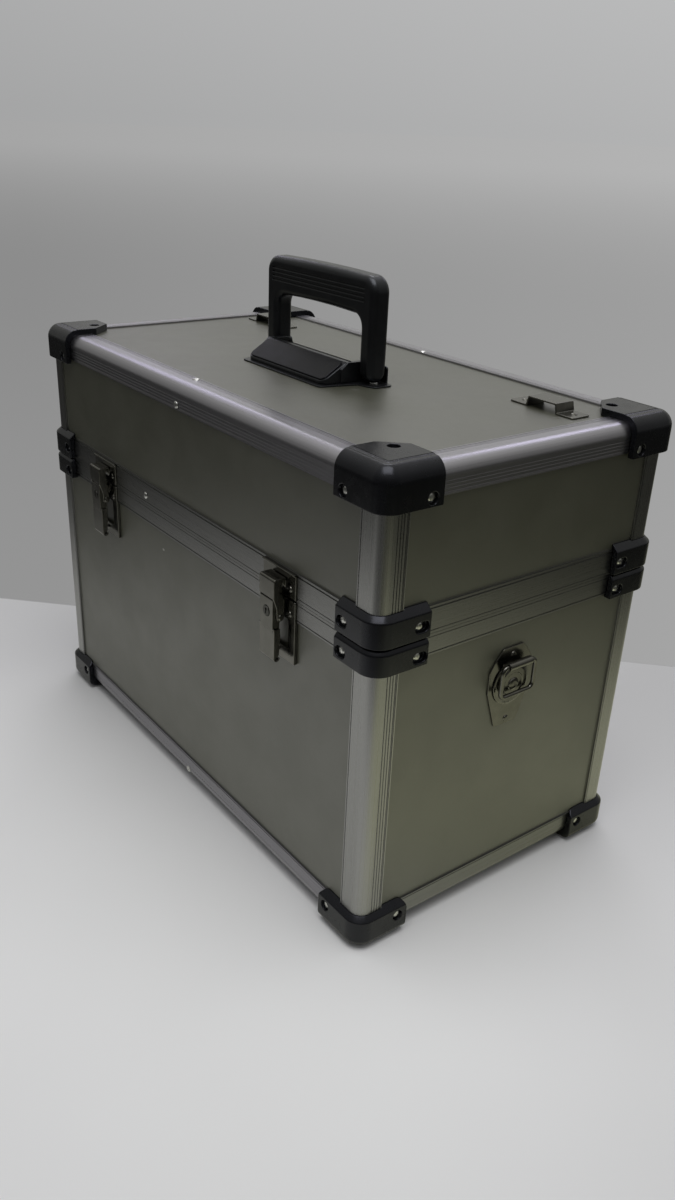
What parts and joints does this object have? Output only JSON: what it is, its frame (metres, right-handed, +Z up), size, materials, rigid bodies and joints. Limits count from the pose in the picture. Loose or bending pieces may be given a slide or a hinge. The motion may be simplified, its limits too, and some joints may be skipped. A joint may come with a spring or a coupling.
{
  "type": "aluminum case",
  "caption": "Aluminium-framed hard case with a hinged lid, draw latches with key locks, folding top handle, corner guards, strap staples and swivelling strap rings.",
  "frame": {"origin": "on the ground, under the middle of the case", "axes": "+Z up, +X to the right along the long side when seen from the latches, +Y from the latches towards the hinges"},
  "size_m": [0.452, 0.2541, 0.3942],
  "materials": {
    "laminate_panel": "satin olive-grey laminate over board",
    "frame_aluminium": "satin anodised, finely grooved",
    "guard_plastic": "moulded, slightly shiny",
    "rivet_aluminium": "bright",
    "nickel_steel": "dark nickel plate",
    "handle_plastic": "moulded, slightly shiny",
    "label_plate": "smooth, bare",
    "foot_rubber": "matt",
    "lining_foam": "brushed cloth over foam"
  },
  "bodies": {
    "case": {"bottom_panel": "laminate_panel", "front_panel": "laminate_panel", "rear_panel": "laminate_panel", "side_panels": "laminate_panel", "bottom_extrusions_long": "frame_aluminium", "bottom_extrusions_short": "frame_aluminium", "body_corner_posts": "frame_aluminium", "body_rim_long": "frame_aluminium", "body_rim_short": "frame_aluminium", "body_belt_guards": "guard_plastic", "base_corner_guards": "guard_plastic", "feet": "foot_rubber", "foot_screws": "nickel_steel", "body_guard_rivets": "rivet_aluminium", "body_frame_rivets": "rivet_aluminium", "body_hardware_rivets": "nickel_steel", "latch_bases": "nickel_steel", "latch_pivot_pins": "nickel_steel", "lug_plates": "nickel_steel", "swivel_rivets": "nickel_steel", "body_hinge_leaves": "nickel_steel", "hinge_pins": "nickel_steel", "body_wall_lining": "lining_foam", "base_pad": "lining_foam"},
    "lid": {"lid_top_panel": "laminate_panel", "lid_front_panel": "laminate_panel", "lid_rear_panel": "laminate_panel", "lid_side_panels": "laminate_panel", "lid_top_extrusions_long": "frame_aluminium", "lid_top_extrusions_short": "frame_aluminium", "lid_corner_posts": "frame_aluminium", "lid_rim_long": "frame_aluminium", "lid_rim_short": "frame_aluminium", "lid_corner_guards": "guard_plastic", "lid_belt_guards": "guard_plastic", "lid_guard_rivets": "rivet_aluminium", "lid_frame_rivets": "rivet_aluminium", "lid_hardware_rivets": "nickel_steel", "latch_keepers": "nickel_steel", "lid_hinge_leaves": "nickel_steel", "strap_staples": "nickel_steel", "handle_base_plate": "handle_plastic", "handle_bracket": "handle_plastic", "handle_label_plate": "label_plate", "handle_pins": "nickel_steel", "lid_wall_lining": "lining_foam", "lid_pad": "lining_foam"},
    "handle": {"handle": "handle_plastic"},
    "right_lever": {"right_lever": "nickel_steel", "right_hook_rivets": "nickel_steel"},
    "left_lever": {"left_lever": "nickel_steel", "left_hook_rivets": "nickel_steel"},
    "right_hook": {"right_hook": "nickel_steel"},
    "left_hook": {"left_hook": "nickel_steel"},
    "right_lock": {"right_lock": "nickel_steel"},
    "left_lock": {"left_lock": "nickel_steel"},
    "right_swivel": {"right_swivel": "nickel_steel"},
    "left_swivel": {"left_swivel": "nickel_steel"},
    "right_ring": {"right_ring": "nickel_steel"},
    "left_ring": {"left_ring": "nickel_steel"}
  },
  "joints": [
    {"name": "lid_hinge", "type": "hinge", "parent": "case", "child": "lid", "pos_m": [0, 0.1223, 0.2193], "axis": [-1, 0, 0], "range_deg": [0, 100]},
    {"name": "handle_fold", "type": "hinge", "parent": "lid", "child": "handle", "pos_m": [0, 0, 0.3304], "axis": [1, 0, 0], "range_deg": [0, 90]},
    {"name": "right_latch_lever", "type": "hinge", "parent": "case", "child": "right_lever", "pos_m": [0.1235, -0.124, 0.2148], "axis": [-1, 0, 0], "range_deg": [0, 100]},
    {"name": "right_latch_hook", "type": "hinge", "parent": "right_lever", "child": "right_hook", "pos_m": [0.1235, -0.123, 0.2057], "axis": [-1, 0, 0], "range_deg": [-117, 0]},
    {"name": "right_key_lock", "type": "hinge", "parent": "right_lever", "child": "right_lock", "pos_m": [0.1235, -0.1285, 0.209], "axis": [0, -1, 0], "range_deg": [0, 90]},
    {"name": "right_strap_swivel", "type": "hinge", "parent": "case", "child": "right_swivel", "pos_m": [0.2172, -0.003, 0.164], "axis": [1, 0, 0], "range_deg": [-90, 90]},
    {"name": "right_strap_ring", "type": "hinge", "parent": "right_swivel", "child": "right_ring", "pos_m": [0.2233, -0.003, 0.1805], "axis": [0, -1, 0], "range_deg": [0, 175]},
    {"name": "left_latch_lever", "type": "hinge", "parent": "case", "child": "left_lever", "pos_m": [-0.1235, -0.124, 0.2148], "axis": [-1, 0, 0], "range_deg": [0, 100]},
    {"name": "left_latch_hook", "type": "hinge", "parent": "left_lever", "child": "left_hook", "pos_m": [-0.1235, -0.123, 0.2057], "axis": [-1, 0, 0], "range_deg": [-117, 0]},
    {"name": "left_key_lock", "type": "hinge", "parent": "left_lever", "child": "left_lock", "pos_m": [-0.1235, -0.1285, 0.209], "axis": [0, 1, 0], "range_deg": [0, 90]},
    {"name": "left_strap_swivel", "type": "hinge", "parent": "case", "child": "left_swivel", "pos_m": [-0.2172, -0.003, 0.164], "axis": [1, 0, 0], "range_deg": [-90, 90]},
    {"name": "left_strap_ring", "type": "hinge", "parent": "left_swivel", "child": "left_ring", "pos_m": [-0.2233, -0.003, 0.1805], "axis": [0, 1, 0], "range_deg": [0, 175]}
  ],
  "couplings": [
    {"joint": "right_latch_hook", "follows": "right_latch_lever", "ratio": -1.15},
    {"joint": "left_latch_hook", "follows": "left_latch_lever", "ratio": -1.15}
  ]
}
